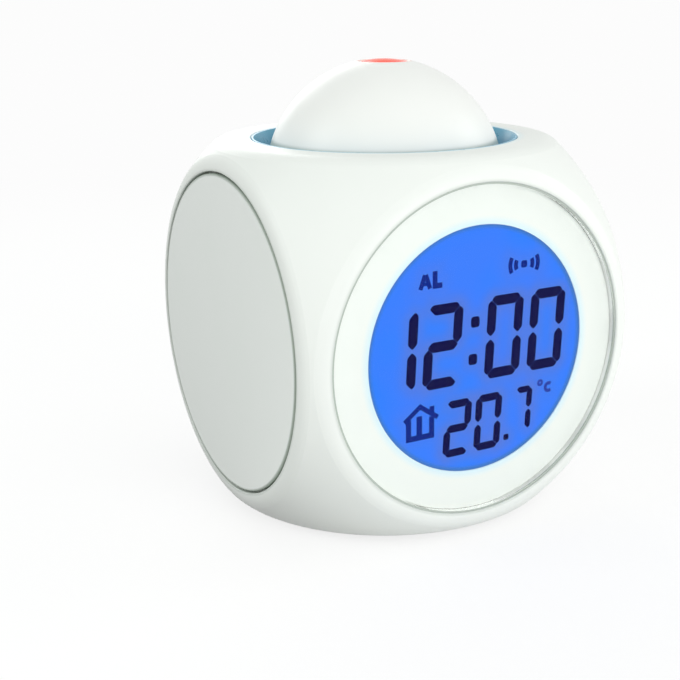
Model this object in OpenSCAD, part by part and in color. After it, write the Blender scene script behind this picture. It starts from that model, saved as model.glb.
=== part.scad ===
// Projection alarm clock: a rounded cube with a round display in front, a press dome with a
// projector on top, keys and a speaker behind and a twist-off battery cover below.
// The origin is the middle of the surface that the clock stands on. +Z is up and the display looks along -Y.

/* [Body] */
// Side of the cube-shaped body
body_w = 80; // [79.6:0.1:80.6]
// Radius of the flat round part of each face, where the seam runs
seam_r = 34.8; // [34.7:0.05:34.9]
// Open width of the seam around each disc
seam_gap = 0.45; // [0.3:0.05:0.5]
// Thickness of the side, rear and base discs
disc_t = 2.4; // [2.2:0.1:2.5]
// Thickness of the shell's floor behind each disc
floor_t = 2.2; // [2:0.1:2.3]
// Thickness of the shell's wall at the corners and at the top
wall_t = 2.6; // [2.2:0.1:2.8]
// Height of the feet below the body
foot_h = 0.8; // [0.5:0.1:1.5]

/* [Display] */
// Radius of the round window
window_r = 26.1; // [24:0.1:26.4]
// Thickness of the clear front lens
lens_t = 1.9; // [1.7:0.1:2]
// Thickness of the white mask film behind the lens
mask_t = 0.25; // [0.2:0.05:0.3]
// Distance across the cut corners of the display glass
glass_across = 54; // [53:0.5:54.4]

/* [Dome] */
// Radius of the dome
dome_r = 26.5; // [26.2:0.1:26.8]
// Height of the dome's centre above the middle of the body
dome_z = 30.4; // [30:0.1:30.6]
// Wall of the dome
dome_t = 2; // [1.6:0.1:2.2]
// Radius of the opening in the top of the body
top_r = 29.5; // [29.3:0.05:29.9]
// Travel of the dome when it is pressed
dome_travel = 1.5; // [1:0.1:1.5]

/* [Projector] */
// Radius of the projection lens
eye_r = 5; // [4.5:0.1:5.2]
// Radius of the tube that holds the lens
tube_r = 7; // [6.5:0.1:7.2]

/* [Keys] */
// Length of a rear key
key_l = 9; // [8:0.5:9.5]
// Width of a rear key
key_w = 5; // [4.5:0.5:6]
// Distance between rear keys
key_pitch = 9; // [8:0.5:9]
// Travel of a rear key
key_travel = 0.8; // [0.5:0.1:0.9]

/* [Power] */
// Diameter of a battery cell
cell_d = 10.5; // [10.2:0.1:10.5]
// Length of a battery cell with its cap
cell_l = 44.5; // [43.5:0.1:44.5]
// Turn that frees the base cover
cover_turn = 30; // [26:1:34]

/* [Hidden] */

fine = 200;
round_fn = 64;
// How deep a piece runs into the one it is moulded to, and how far a cutter runs past the face it opens
join = 0.1;
past = 1;
half = body_w / 2;
centre_z = foot_h + half;

// Rounded body: the edge fillet runs into a sphere that all eight corners share.
edge_r = half - seam_r;
tangent_slack = 0.01;
corner_r = seam_r * sqrt(2) + edge_r - tangent_slack;
cavity_r = corner_r - wall_t;
inner = half - disc_t - floor_t;
disc_r = seam_r - seam_gap;
disc_edge = 0.3;
rim_break = 0.15;
top_break = 0.25;

// Pegs that press the discs into the shell's floor
peg_r = 1.4;
peg_hole_r = 1.45;
peg_l = 2;
peg_depth = 3;
side_peg_at = 24;
side_peg_turns = [0 : 120 : 240];
rear_peg_at = 28;
rear_peg_turns = [0 : 90 : 270];

// Turns that carry local +Z to the outward normal of each face, with local +Y up on the sides.
front = [90, 0, 0];
rear = [90, 0, 180];
left = [90, 0, -90];
right = [90, 0, 90];
bottom = [180, 0, 0];

// Front stack, as depths below the front face
ledge_r = 32.3;
lens_seat = lens_t + mask_t;
gasket_sink = 0.3;
gasket_slack = 0.02;
mask_slack = 0.1;
glass_depth = lens_seat + 0.1;
glass_t = 2;
diffuser_depth = glass_depth + glass_t + 0.1;
diffuser_t = 2.2;
board_depth = 7.6;
board_t = 1.4;
glass_half_x = 27.2;
glass_half_z = 27.9;
frame_wall = 0.9;
board_ear_x = 33.4;
board_ear_z = 15.5;
board_boss = [31, 12.9];
board_boss_r = 2.2;
board_hole_r = 1.2;
strip_z = 26.7;
strip_l = 16;
strip_t = 1.8;
led_size = [2.8, 2, 0.8];
led_at = [14, 10];

// Parts on the back of the main board
blob_r = 7;
blob_h = 1.6;
blob_ball = 17.5;
crystal = [1.5, 5];
capacitor = [2.5, 5.4];
bead = [1.2, 2.4];
socket_size = [12, 4.6, 4.4];

// Long screws that hold the two shells together
boss_at = 21.9;
boss_front_r = 2.6;
boss_rear_r = 3.3;
boss_root = 0.8;
pilot_r = 1.3;
pilot_l = 15;
through_r = 1.45;
well_r = 2.35;
well_end = 8;
gusset_y = 29.5;
gusset_l = 25;
gusset_t = 1.6;
lip_t = 1;
lip_h = 1.5;
lip_gap = 0.05;

// Top opening, light ring and the frame that guides the dome
relief_r = 33.1;
ring_flange_r = 32.8;
ring_top = half - 0.05;
ring_base = 35.2;
ring_in_r = 27.35;
ring_board_t = 1;
frame_low = 29;
frame_lip_t = 1.6;
frame_in_r = 27.2;
frame_out_r = 33;
frame_boss = 25.3;
frame_boss_r = 2.5;
frame_ear_r = 3;
frame_pilot_r = 1.05;
frame_pilot_l = 6;
frame_wall_t = 1.6;
frame_sill = 1.2;
pin_at = 30;
pin_r = 1.2;
pin_low = 24.5;
bridge_low = 23.6;
bridge_t = 1.6;
bridge_w = 12;
leg_in = 28.7;
leg_out = 30.5;
ring_groove_h = 1.2;
ring_groove_in = 29;
ring_groove_out = 31.6;
ring_led_size = [1.6, 2.4, 0.8];
ring_led_at = 29.5;
ring_led_count = 8;

// Dome and projector
flat_r = 6;
dome_top = dome_z + sqrt(pow(dome_r, 2) - pow(flat_r, 2));
skirt_low = 27;
flange_r = 28.2;
flange_top = frame_low - 0.1;
nozzle_r = eye_r + 0.5;
nozzle_break = 0.15;
post_at = 12;
post_r = 2;
post_turns = [30 : 120 : 270];
post_pilot_r = 1;
post_slack = 0.1;
post_pilot_l = 8;
dome_pin_turns = [0 : 120 : 240];
pin_ear_r = 2.4;
pin_slack = 0.3;
carrier_low = 34.2;
carrier_top = 35.6;
carrier_r = 15;
eye_bulge = 0.6;
projector_board_r = 7.6;
projector_board_t = 1.2;
coil_r = 8.6;
wire_r = 0.45;
coil_turns = 4;
coil_steps = 24;
coil_sides = 6;
dome_switch_h = 3.5;
condenser_z = 40.5;
condenser_ball = 9.8;
condenser_ball_z = 33.2;
slide_w = 7.8;
slide_t = 0.9;
slide_z = 45;
lamp_r = 2.5;
lamp_rim_r = 2.9;
lamp_h = 3;

// Rear panel, in its own right and up directions
panel_w = 37;
panel_h = 13.4;
panel_y = 14;
panel_sink = 0.8;
key_gap = 0.25;
key_flange = 0.6;
key_sink = 0.2;
key_edge = 0.35;
key_slack = 0.05;
key_flange_t = 0.9;
key_stem_r = 1.6;
key_board_depth = 8.1;
key_board_t = 1.2;
key_stem = 1.55;
key_switch_h = 2.5;
key_board_w = 36;
key_board_h = 21.6;
key_post = [9, 9];
key_post_r = 1.9;
key_hole_r = 1.1;
key_pilot_r = 0.95;
switch_w = 6;
speaker_y = -11;
speaker_r = 11.6;
speaker_gap = 0.4;
magnet_r = 7.4;
gasket_in = 9.8;
hole_pitch = 2.6;
hole_r = 0.7;
hole_rings = 3;

// Battery box and bayonet cover, as heights from the middle of the body
tab_count = 3;
tab_span = 22;
tab_top = -33.8;
tab_low = -inner + 0.1;
tab_r = 33.4;
hub_r = 31.2;
hub_in = 29.6;
mouth_r = 31.6;
notch_r = 33.8;
box_rim = -33.6;
box_half_x = 17.9;
box_half_y = 25.7;
box_wall = 1.2;
box_top = -21.3;
cell_pitch = 11.1;
cradle_at = 14;
cradle_t = 1.4;
cradle_slack = 0.1;
cell_z = box_rim + 0.3 + cell_d / 2;
lug_at = [28.6, 22.9];
lug_z = -31.6;
lug_t = 1.4;
lug_r = 2.8;
stop_in = 32;
stop_out = 33.6;
stop_h = 1.6;
stop_gap = 2.5;
stop_span = 3;
notch_extra = 4;
slot_l = 18;
slot_w = 2.4;
slot_depth = 1.2;
contact_w = 7;
contact_h = 4.5;
contact_t = 0.4;
cell_nub = 0.8;
cell_slack = 0.05;
cell_nub_r = 2.75;
foot_pocket = 0.6;
foot_edge = 0.3;

// Screws as head radius, head height, shank radius and shank length
shell_screw = [2.2, 1.8, 1.25, 21];
frame_screw = [1.9, 1.3, 1, 6];
board_screw = [1.9, 1.3, 1, 3.6];
key_screw = [1.7, 1.2, 0.9, 4];
box_screw = [1.9, 1.3, 1, 4];
dome_screw = [1.8, 1.3, 0.95, 8];
drive_w = 0.5;
drive_share = 0.6;
foot_at = [17.5, 24];
foot_r = 3.2;
foot_slack = 0.05;

white = [0.95, 0.96, 0.94];
soft_white = [0.88, 0.89, 0.87];
board_green = [0.1, 0.42, 0.26];
metal = [0.76, 0.76, 0.74];
dark = [0.12, 0.12, 0.13];

// Direction of the middle of bayonet tab i, seen from above.
function tab_turn(i) = 90 + i * 360 / tab_count;

module from_centre() {
    translate([0, 0, centre_z]) children();
}

// Local z = 0 lies depth below the face, and local +Z points out of it.
module face(turn, depth = 0) {
    rotate(turn) translate([0, 0, half - depth]) children();
}

module at_corners(x, y) {
    for (sx = [-1, 1], sy = [-1, 1]) translate([sx * x, sy * y, 0]) children();
}

module ring(outer, hole, h) {
    difference() {
        cylinder(r = outer, h = h, $fn = fine);
        translate([0, 0, -past]) cylinder(r = hole, h = h + 2 * past, $fn = fine);
    }
}

module sector(r_in, r_out, h, middle, span) {
    rotate([0, 0, middle - span / 2])
        rotate_extrude(angle = span, $fn = fine)
            translate([r_in, 0]) square([r_out - r_in, h]);
}

module round_rect(w, h, r) {
    square([w - 2 * r, h], center = true);
    square([w, h - 2 * r], center = true);
    at_corners(w / 2 - r, h / 2 - r) circle(r = r, $fn = round_fn);
}

module pill(l, w) {
    square([w, l - w], center = true);
    for (s = [-1, 1]) translate([0, s * (l - w) / 2]) circle(r = w / 2, $fn = round_fn);
}

// Half of a plate's cross-section, from the axis to the outer edge w, with a round of radius r at the top.
module edge_section(w, h, r) {
    square([w - r, h]);
    square([w, h - r]);
    translate([w - r, h - r]) circle(r = r, $fn = round_fn);
}

// A disc whose outer face lies at z = t, with a rounded rim.
module plain_disc(t) {
    rotate_extrude($fn = fine) edge_section(disc_r, t, disc_edge);
}

// A plate with round ends along Y and a rounded top edge.
module key_top(l, w, h, r) {
    reach = (l - w) / 2;
    for (s = [-1, 1]) translate([0, s * reach, 0]) rotate_extrude($fn = fine) edge_section(w / 2, h, r);
    translate([0, reach, 0]) rotate([90, 0, 0]) linear_extrude(2 * reach) {
        edge_section(w / 2, h, r);
        mirror([1, 0]) edge_section(w / 2, h, r);
    }
}

// A cone that breaks the edge where a hole of radius r meets the face at z = 0.
module edge_break(r, size) {
    far = 0.5;
    rotate_extrude($fn = fine)
        polygon([[r - far, -size], [r, -size], [r + size + far, far], [r - far, far]]);
}

// A pan head screw with a cross drive, its head standing on z = 0 and its shank going down.
module screw(size) {
    head_r = size[0];
    head_h = size[1];
    shank_l = size[3];
    difference() {
        union() {
            cylinder(r = head_r, h = head_h, $fn = round_fn);
            translate([0, 0, -shank_l]) cylinder(r = size[2], h = shank_l + join, $fn = round_fn);
        }
        for (a = [0, 90]) rotate([0, 0, a])
            translate([-head_r * drive_share, -drive_w / 2, head_h / 2])
                cube([2 * head_r * drive_share, drive_w, head_h]);
    }
}

// --- Housing ---

// One face's flat disc and rounded edge, with a 45 degree flank that stays outside the corner sphere.
module face_profile() {
    turn_r = seam_r + edge_r * cos(45);
    far = corner_r + 5;
    intersection() {
        union() {
            polygon([
                [0, -half], [seam_r, -half], [seam_r, -seam_r], [turn_r, -turn_r],
                [far, far - 2 * turn_r], [far, 2 * turn_r - far],
                [turn_r, turn_r], [seam_r, seam_r], [seam_r, half], [0, half]
            ]);
            for (s = [-1, 1]) translate([seam_r, s * seam_r]) circle(r = edge_r, $fn = round_fn);
        }
        translate([0, -half]) square([far, body_w]);
    }
}

module face_pair() {
    rotate_extrude($fn = fine) face_profile();
}

module body_form() {
    intersection() {
        sphere(r = corner_r, $fn = fine);
        face_pair();
        rotate([90, 0, 0]) face_pair();
        rotate([0, 90, 0]) face_pair();
    }
}

module cavity() {
    intersection() {
        sphere(r = cavity_r, $fn = fine);
        cube(2 * inner, center = true);
    }
    cylinder(r = relief_r, h = half - wall_t, $fn = fine);
}

// Recesses that take the lens and the discs, and the openings in their floors.
module face_recesses() {
    for (turn = [left, right, rear, bottom])
        face(turn, disc_t) cylinder(r = seam_r, h = disc_t + past, $fn = fine);
    for (turn = [left, right, rear, bottom, front]) face(turn) edge_break(seam_r, rim_break);
    face([0, 0, 0]) edge_break(top_r, top_break);
    face(front, lens_seat) cylinder(r = seam_r, h = lens_seat + past, $fn = fine);
    face(front, half / 2) cylinder(r = ledge_r, h = half / 2, $fn = fine);
    cylinder(r = top_r, h = half + past, $fn = fine);
    face(bottom, half / 2) cylinder(r = mouth_r, h = half / 2, $fn = fine);
    translate([0, 0, -half])
        for (i = [0 : tab_count - 1])
            sector(mouth_r - past, notch_r, half - inner + past,
                   tab_turn(i) - cover_turn, tab_span + notch_extra);
}

// Round posts of radius r and height h on a circle of radius at, at the given angles.
module posts_around(at, angles, r, h) {
    for (a = angles) rotate([0, 0, a]) translate([at, 0, 0]) cylinder(r = r, h = h, $fn = round_fn);
}

module shell_body() {
    difference() {
        body_form();
        cavity();
        face_recesses();
        for (turn = [left, right]) face(turn, disc_t + peg_depth)
            posts_around(side_peg_at, side_peg_turns, peg_hole_r, peg_depth + past);
    }
}

// Screw bosses at the four corners of the display and key panel, from the given wall to the parting plane.
module shell_bosses(r) {
    at_corners(boss_at, boss_at) cylinder(r = r, h = inner + boss_root, $fn = round_fn);
    for (a = [45 : 90 : 315])
        intersection() {
            sphere(r = cavity_r + 0.5, $fn = fine);
            rotate([0, 0, a]) translate([boss_at * sqrt(2), -gusset_t / 2, gusset_y])
                cube([gusset_l, gusset_t, inner + boss_root - gusset_y]);
        }
}

// Bosses that hang from the top wall and carry the dome's frame, and bosses that carry the battery box.
module frame_bosses(sign) {
    for (s = [-1, 1]) {
        translate([s * frame_boss, sign * frame_boss, frame_low + frame_lip_t])
            cylinder(r = frame_boss_r, h = inner + 0.5 - frame_low - frame_lip_t, $fn = round_fn);
        translate([s * lug_at[0], sign * lug_at[1], -inner - 0.5])
            cylinder(r = frame_boss_r, h = inner + 0.5 + lug_z, $fn = round_fn);
    }
}

module frame_pilots(sign) {
    for (s = [-1, 1]) {
        translate([s * frame_boss, sign * frame_boss, frame_low + 1])
            cylinder(r = frame_pilot_r, h = frame_pilot_l, $fn = round_fn);
        translate([s * lug_at[0], sign * lug_at[1], lug_z - 3.4])
            cylinder(r = frame_pilot_r, h = 4, $fn = round_fn);
    }
}

module cover_stops() {
    translate([0, 0, -inner - 0.2])
        for (i = [0 : tab_count - 1])
            sector(stop_in, stop_out, stop_h, tab_turn(i) + tab_span / 2 + stop_gap, stop_span);
}

// A square tongue inside the wall at the parting plane.
module parting_lip(half_w, h) {
    difference() {
        translate([-half_w, -h, -half_w]) cube([2 * half_w, h + 0.01, 2 * half_w]);
        translate([-inner, -h - 1, -inner]) cube([2 * inner, h + 2, 2 * inner]);
        cylinder(r = relief_r, h = half, $fn = fine);
        face(bottom, half / 2) cylinder(r = mouth_r + 3, h = half, $fn = fine);
    }
}

module front_shell() {
    color(white) from_centre() difference() {
        union() {
            intersection() {
                shell_body();
                translate([-half, -half, -half]) cube([body_w, half, body_w]);
            }
            rotate(front) shell_bosses(boss_front_r);
            frame_bosses(-1);
            intersection() {
                cover_stops();
                translate([-half, -half, -half]) cube([body_w, half, body_w]);
            }
            face(front, board_depth) at_corners(board_boss[0], board_boss[1])
                cylinder(r = board_boss_r, h = board_depth - half + inner + 0.6, $fn = round_fn);
        }
        parting_lip(inner + lip_t + lip_gap, lip_h + lip_gap);
        frame_pilots(-1);
        translate([0, 0.1, 0]) rotate(front) at_corners(boss_at, boss_at)
            cylinder(r = pilot_r, h = pilot_l, $fn = round_fn);
        face(front, board_depth + 0.1) at_corners(board_boss[0], board_boss[1])
            cylinder(r = frame_pilot_r, h = 3, $fn = round_fn);
    }
}

module rear_shell() {
    color(white) from_centre() difference() {
        union() {
            intersection() {
                shell_body();
                translate([-half, 0, -half]) cube([body_w, half, body_w]);
            }
            parting_lip(inner + lip_t, lip_h);
            rotate(rear) shell_bosses(boss_rear_r);
            frame_bosses(1);
            intersection() {
                cover_stops();
                translate([-half, 0, -half]) cube([body_w, half, body_w]);
            }
            face(rear, key_board_depth) translate([0, panel_y, 0]) at_corners(key_post[0], key_post[1])
                cylinder(r = key_post_r, h = key_board_depth - half + inner + 0.5, $fn = round_fn);
        }
        frame_pilots(1);
        rotate(rear) at_corners(boss_at, boss_at) {
            translate([0, 0, well_end]) cylinder(r = well_r, h = half, $fn = round_fn);
            translate([0, 0, -1]) cylinder(r = through_r, h = half, $fn = round_fn);
        }
        face(rear, disc_t + peg_depth) {
            translate([0, panel_y, 0]) linear_extrude(5) round_rect(panel_w, panel_h, 3);
            translate([0, speaker_y, 0]) cylinder(r = speaker_r + 0.3, h = 5, $fn = fine);
            posts_around(rear_peg_at, rear_peg_turns, peg_hole_r, 5);
        }
        face(rear, key_board_depth + 0.1) translate([0, panel_y, 0]) at_corners(key_post[0], key_post[1])
            cylinder(r = key_pilot_r, h = 4, $fn = round_fn);
    }
}

module left_cap() {
    color(white) from_centre() face(left, disc_t) {
        plain_disc(disc_t);
        translate([0, 0, -peg_l]) posts_around(side_peg_at, side_peg_turns, peg_r, peg_l + join);
    }
}

module right_cap() {
    color(white) from_centre() face(right, disc_t) {
        plain_disc(disc_t);
        translate([0, 0, -peg_l]) posts_around(side_peg_at, side_peg_turns, peg_r, peg_l + join);
    }
}

// Rows of holes on a triangular grid, out to the given number of rings around the middle.
module grille_holes(rings) {
    for (row = [-rings : rings], i = [0 : 2 * rings - abs(row)])
        translate([(i - rings + abs(row) / 2) * hole_pitch, row * hole_pitch * sin(60), 0]) children();
}

module rear_cap() {
    color(white) from_centre() face(rear, disc_t) difference() {
        union() {
            plain_disc(disc_t);
            translate([0, 0, -peg_l]) posts_around(rear_peg_at, rear_peg_turns, peg_r, peg_l + join);
        }
        translate([0, panel_y, disc_t - panel_sink]) linear_extrude(2) round_rect(panel_w, panel_h, 4);
        for (i = [0 : 3])
            translate([(i - 1.5) * key_pitch, panel_y, -1])
                linear_extrude(5) pill(key_l + 2 * key_gap, key_w + 2 * key_gap);
        translate([0, speaker_y, -1]) grille_holes(hole_rings) cylinder(r = hole_r, h = 5, $fn = 24);
    }
}

// --- Display ---

module front_lens() {
    color([0.9, 0.95, 1, 0.4]) from_centre() face(front, lens_t) plain_disc(lens_t);
}

// A soft ring that fills the seam around the lens to just below the face.
module lens_gasket() {
    color(soft_white) from_centre() face(front, lens_seat)
        ring(seam_r - gasket_slack, disc_r + gasket_slack, lens_seat - gasket_sink);
}

module mask_ring() {
    color(white) from_centre() face(front, lens_seat) ring(disc_r - mask_slack, window_r, mask_t);
}

// Outline of the display glass: a square with cut corners, grown by the given amount.
module glass_outline(grow) {
    x = glass_half_x + grow;
    y = glass_half_z + grow;
    cut = (glass_across / 2 + grow) * sqrt(2);
    polygon([
        [cut - y, y], [x, cut - x], [x, x - cut], [cut - y, -y],
        [y - cut, -y], [-x, x - cut], [-x, cut - x], [y - cut, y]
    ]);
}

module lcd_panel() {
    color([0.24, 0.5, 0.95]) from_centre() face(front, glass_depth + glass_t)
        linear_extrude(glass_t) glass_outline(0);
}

module lcd_holder() {
    color(soft_white) from_centre() face(front, board_depth) linear_extrude(board_depth - glass_depth)
        difference() {
            glass_outline(frame_wall);
            glass_outline(0.05);
        }
}

module backlight_diffuser() {
    color([0.8, 0.88, 1]) from_centre() face(front, diffuser_depth + diffuser_t) linear_extrude(diffuser_t)
        intersection() {
            glass_outline(-0.2);
            square([2 * glass_half_x, 2 * (strip_z - 1.2)], center = true);
        }
}

module backlight_leds() {
    color([1, 0.95, 0.6]) from_centre() face(front, board_depth)
        for (x = [-led_at[0], 0, led_at[0]], y = [-led_at[1], led_at[1]])
            translate([x - led_size[0] / 2, y - led_size[1] / 2, 0]) cube(led_size);
}

module contact_strips() {
    color(dark) from_centre() face(front, board_depth)
        for (s = [-1, 1]) translate([-strip_l / 2, s * strip_z - strip_t / 2, 0])
            cube([strip_l, strip_t, board_depth - glass_depth - glass_t]);
}

module main_board() {
    color(board_green) from_centre() face(front, board_depth + board_t) difference() {
        union() {
            linear_extrude(board_t) glass_outline(frame_wall);
            translate([-board_ear_x, -board_ear_z, 0]) cube([2 * board_ear_x, 2 * board_ear_z, board_t]);
        }
        translate([0, 0, -past]) at_corners(board_boss[0], board_boss[1])
            cylinder(r = board_hole_r, h = board_t + 2 * past, $fn = round_fn);
    }
}

// The controller under its resin blob, the crystal, capacitors, the sensor bead and a lead connector.
module board_parts() {
    from_centre() face(front, board_depth + board_t) rotate([180, 0, 0]) {
        color(dark) intersection() {
            cylinder(r = blob_r, h = blob_h, $fn = fine);
            translate([0, 0, blob_h - 0.1 - blob_ball]) sphere(r = blob_ball, $fn = fine);
        }
        color(metal) translate([14, 6, 0]) cylinder(r = crystal[0], h = crystal[1], $fn = round_fn);
        color([0.15, 0.2, 0.5]) for (y = [-8, 8]) translate([-15, y, 0])
            cylinder(r = capacitor[0], h = capacitor[1], $fn = round_fn);
        color(dark) translate([20, -6, 0]) cylinder(r = bead[0], h = bead[1], $fn = round_fn);
        color(soft_white) translate([-socket_size[0] / 2, -17, 0]) difference() {
            cube(socket_size);
            translate([1, 1, 1.4]) cube(socket_size - [2, 2, 0]);
        }
    }
}

// --- Keys and speaker ---

module key(i) {
    top = disc_t - key_sink;
    wide = key_w + 2 * key_flange;
    long = key_l + 2 * key_flange;
    color(soft_white) from_centre() face(rear, disc_t) translate([(i - 1.5) * key_pitch, panel_y, 0]) {
        translate([0, 0, -2 * key_slack]) key_top(key_l, key_w, top + 2 * key_slack, key_edge);
        translate([0, 0, -key_flange_t - key_slack]) linear_extrude(key_flange_t) round_rect(wide, long, 1);
        translate([0, 0, -key_stem]) cylinder(r = key_stem_r, h = key_stem - key_flange_t, $fn = round_fn);
    }
}

module key_mode() {
    key(0);
}

module key_set() {
    key(1);
}

module key_up() {
    key(2);
}

module key_down() {
    key(3);
}

module key_board() {
    color(board_green) from_centre() face(rear, key_board_depth + key_board_t)
        translate([0, panel_y, 0]) difference() {
            translate([-key_board_w / 2, -key_board_h / 2, 0]) cube([key_board_w, key_board_h, key_board_t]);
            translate([0, 0, -past]) at_corners(key_post[0], key_post[1])
                cylinder(r = key_hole_r, h = key_board_t + 2 * past, $fn = round_fn);
        }
}

module tact_switch(body_h, plunger_r, plunger_h) {
    translate([-switch_w / 2, -switch_w / 2, 0]) cube([switch_w, switch_w, body_h]);
    translate([0, 0, body_h - join]) cylinder(r = plunger_r, h = plunger_h + join, $fn = round_fn);
}

// Each plunger ends just short of where its key's stem stops.
module key_switches() {
    reach = key_board_depth - disc_t - key_stem - key_travel - 0.05;
    color(dark) from_centre() face(rear, key_board_depth) for (i = [0 : 3])
        translate([(i - 1.5) * key_pitch, panel_y, 0]) tact_switch(key_switch_h, 1.5, reach - key_switch_h);
}

module speaker() {
    color(metal) from_centre() face(rear, disc_t + speaker_gap)
        translate([0, speaker_y, 0]) rotate([180, 0, 0]) rotate_extrude($fn = fine) polygon([
            [0, 1.2], [4, 1.2], [9.4, 0.2], [9.4, 0], [speaker_r, 0], [speaker_r, 1.4], [10.2, 3.2],
            [magnet_r, 3.2], [magnet_r, 6], [0, 6]
        ]);
}

module speaker_gasket() {
    color(dark) from_centre() face(rear, disc_t + speaker_gap) translate([0, speaker_y, 0])
        ring(speaker_r, gasket_in, speaker_gap);
}

// --- Power ---

// Ribs under the box's ceiling, hollowed to the cells that they keep apart.
module cradle_ribs(ceiling) {
    half_w = box_half_x - box_wall + join;
    difference() {
        for (y = [-cradle_at, 0, cradle_at]) translate([-half_w, y - cradle_t / 2, cell_z])
            cube([2 * half_w, cradle_t, ceiling + join - cell_z]);
        for (i = [-1, 0, 1]) translate([i * cell_pitch, box_half_y, cell_z]) rotate([90, 0, 0])
            cylinder(r = cell_d / 2 + cradle_slack, h = 2 * box_half_y, $fn = round_fn);
    }
}

module battery_box() {
    wide = 2 * box_half_x;
    long = 2 * box_half_y;
    ceiling = box_top - box_wall;
    color(soft_white) from_centre() {
        cradle_ribs(ceiling);
        difference() {
            union() {
                translate([-box_half_x, -box_half_y, box_rim]) cube([wide, long, box_top - box_rim]);
                for (s = [-1, 1]) translate([0, s * lug_at[1] - lug_r, lug_z]) {
                    translate([-lug_at[0], 0, 0]) cube([2 * lug_at[0], 2 * lug_r, lug_t]);
                    for (t = [-1, 1]) translate([t * lug_at[0], lug_r, 0])
                        cylinder(r = lug_r, h = lug_t, $fn = round_fn);
                }
            }
            translate([-box_half_x + box_wall, -box_half_y + box_wall, box_rim - past])
                cube([wide - 2 * box_wall, long - 2 * box_wall, ceiling - box_rim + past]);
            at_corners(lug_at[0], lug_at[1]) translate([0, 0, lug_z - past])
                cylinder(r = board_hole_r, h = lug_t + 2 * past, $fn = round_fn);
        }
    }
}

// The middle cell lies the other way round from its neighbours.
module cell(i) {
    plus = i == 0 ? 1 : -1;
    from_centre() translate([i * cell_pitch, 0, cell_z]) rotate([-90 * plus, 0, 0]) {
        color([0.2, 0.24, 0.3]) translate([0, 0, -cell_l / 2])
            cylinder(r = cell_d / 2 - cell_slack, h = cell_l - cell_nub, $fn = round_fn);
        color(metal) translate([0, 0, cell_l / 2 - cell_nub - join])
            cylinder(r = cell_nub_r, h = cell_nub + join, $fn = round_fn);
    }
}

module cell_left() {
    cell(-1);
}

module cell_middle() {
    cell(0);
}

module cell_right() {
    cell(1);
}

// Flat plates at one end of each cell and bent leaf springs at the other.
module battery_contacts() {
    color(metal) from_centre() for (i = [-1, 0, 1], s = [-1, 1]) {
        wall_y = box_half_y - box_wall - 0.05;
        reach = wall_y - cell_l / 2 - 0.1;
        translate([i * cell_pitch, 0, cell_z]) rotate([0, 0, s > 0 ? 0 : 180])
            translate([-contact_w / 2, 0, 0]) rotate([90, 0, 90]) linear_extrude(contact_w) polygon([
                [wall_y, -contact_h], [wall_y, contact_h], [wall_y - contact_t, contact_h],
                [wall_y - contact_t, 3], [wall_y - reach, 0.6], [wall_y - reach, -0.6],
                [wall_y - contact_t, -3], [wall_y - contact_t, -contact_h]
            ]);
    }
}

// The round cover below: a disc whose three tabs turn in under the floor of the shell.
module base_cover() {
    color(white) from_centre() difference() {
        union() {
            face(bottom, disc_t) plain_disc(disc_t);
            for (i = [0 : tab_count - 1]) {
                translate([0, 0, -half + disc_t - join])
                    sector(hub_in, hub_r, tab_top + half - disc_t + join, tab_turn(i), tab_span);
                translate([0, 0, tab_low])
                    sector(hub_r - join, tab_r, tab_top - tab_low, tab_turn(i), tab_span);
            }
        }
        face(bottom, slot_depth) linear_extrude(2) pill(slot_l, slot_w);
        face(bottom, foot_pocket) at_corners(foot_at[0], foot_at[1])
            cylinder(r = foot_r + foot_slack, h = 2, $fn = round_fn);
    }
}

module feet() {
    tall = foot_h + foot_pocket;
    color([0.72, 0.73, 0.72]) from_centre() face(bottom, foot_pocket) at_corners(foot_at[0], foot_at[1])
        rotate_extrude($fn = round_fn)
            polygon([[0, 0], [foot_r, 0], [foot_r, tall - foot_edge], [foot_r - foot_edge, tall], [0, tall]]);
}

// --- Top ---

module light_ring() {
    groove = ring_base + ring_groove_h;
    color([0.3, 0.55, 0.68]) from_centre() rotate_extrude($fn = fine) polygon([
        [top_r - 0.1, ring_top], [top_r - 0.5, ring_top], [ring_in_r, ring_base], [ring_groove_in, ring_base],
        [ring_groove_in, groove], [ring_groove_out, groove], [ring_groove_out, ring_base],
        [ring_flange_r, ring_base],
        [ring_flange_r, half - wall_t - 0.05], [top_r - 0.1, half - wall_t - 0.05]
    ]);
}

module ring_board() {
    color(board_green) from_centre() translate([0, 0, ring_base - ring_board_t])
        ring(ring_flange_r - 0.2, ring_in_r + 0.2, ring_board_t);
}

module ring_leds() {
    color([0.6, 0.8, 1]) from_centre() translate([0, 0, ring_base])
        for (i = [0 : ring_led_count - 1]) rotate([0, 0, (i + 0.5) * 360 / ring_led_count])
            translate([ring_led_at, -ring_led_size[1] / 2, 0]) cube(ring_led_size);
}

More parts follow.
